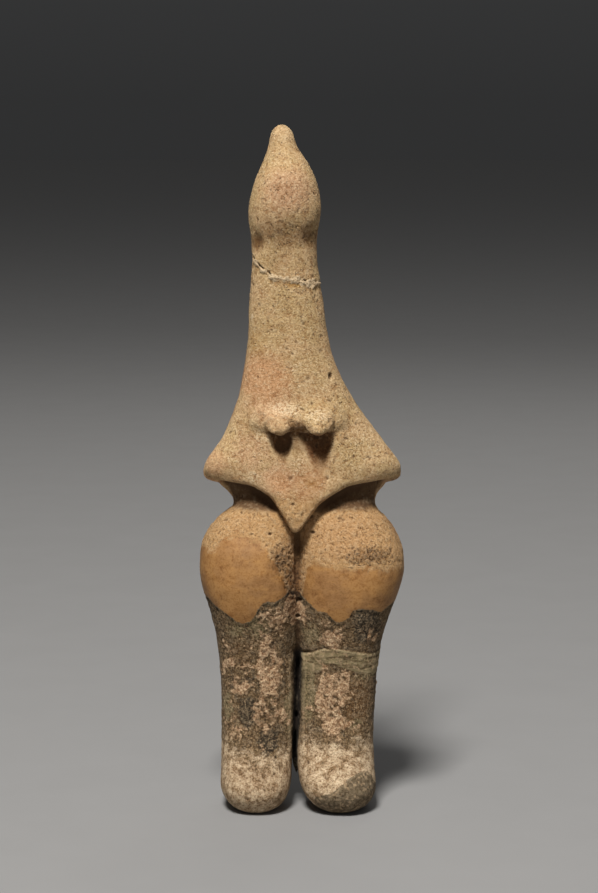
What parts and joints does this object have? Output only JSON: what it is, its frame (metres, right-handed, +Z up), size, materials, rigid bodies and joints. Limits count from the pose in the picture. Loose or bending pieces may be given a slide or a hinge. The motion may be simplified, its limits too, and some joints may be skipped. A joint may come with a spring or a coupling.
{
  "type": "terracotta figurine",
  "caption": "Hand-modelled fired-clay figurine of a standing woman with a peaked faceless head, a long neck, stub arms, broad hips and column legs.",
  "frame": {"origin": "point on the standing plane below the middle of the figure's box", "axes": "+Z up through the head, -Y out of the front of the body, +X towards the figure's own left arm"},
  "size_m": [0.0902, 0.054, 0.3],
  "materials": {
    "terracotta": "dry, pitted fired clay, buff to orange, with worn burnished slip on the thighs and legs and pale soil crust"
  },
  "bodies": {
    "root": {"figurine": "terracotta"}
  },
  "joints": []
}
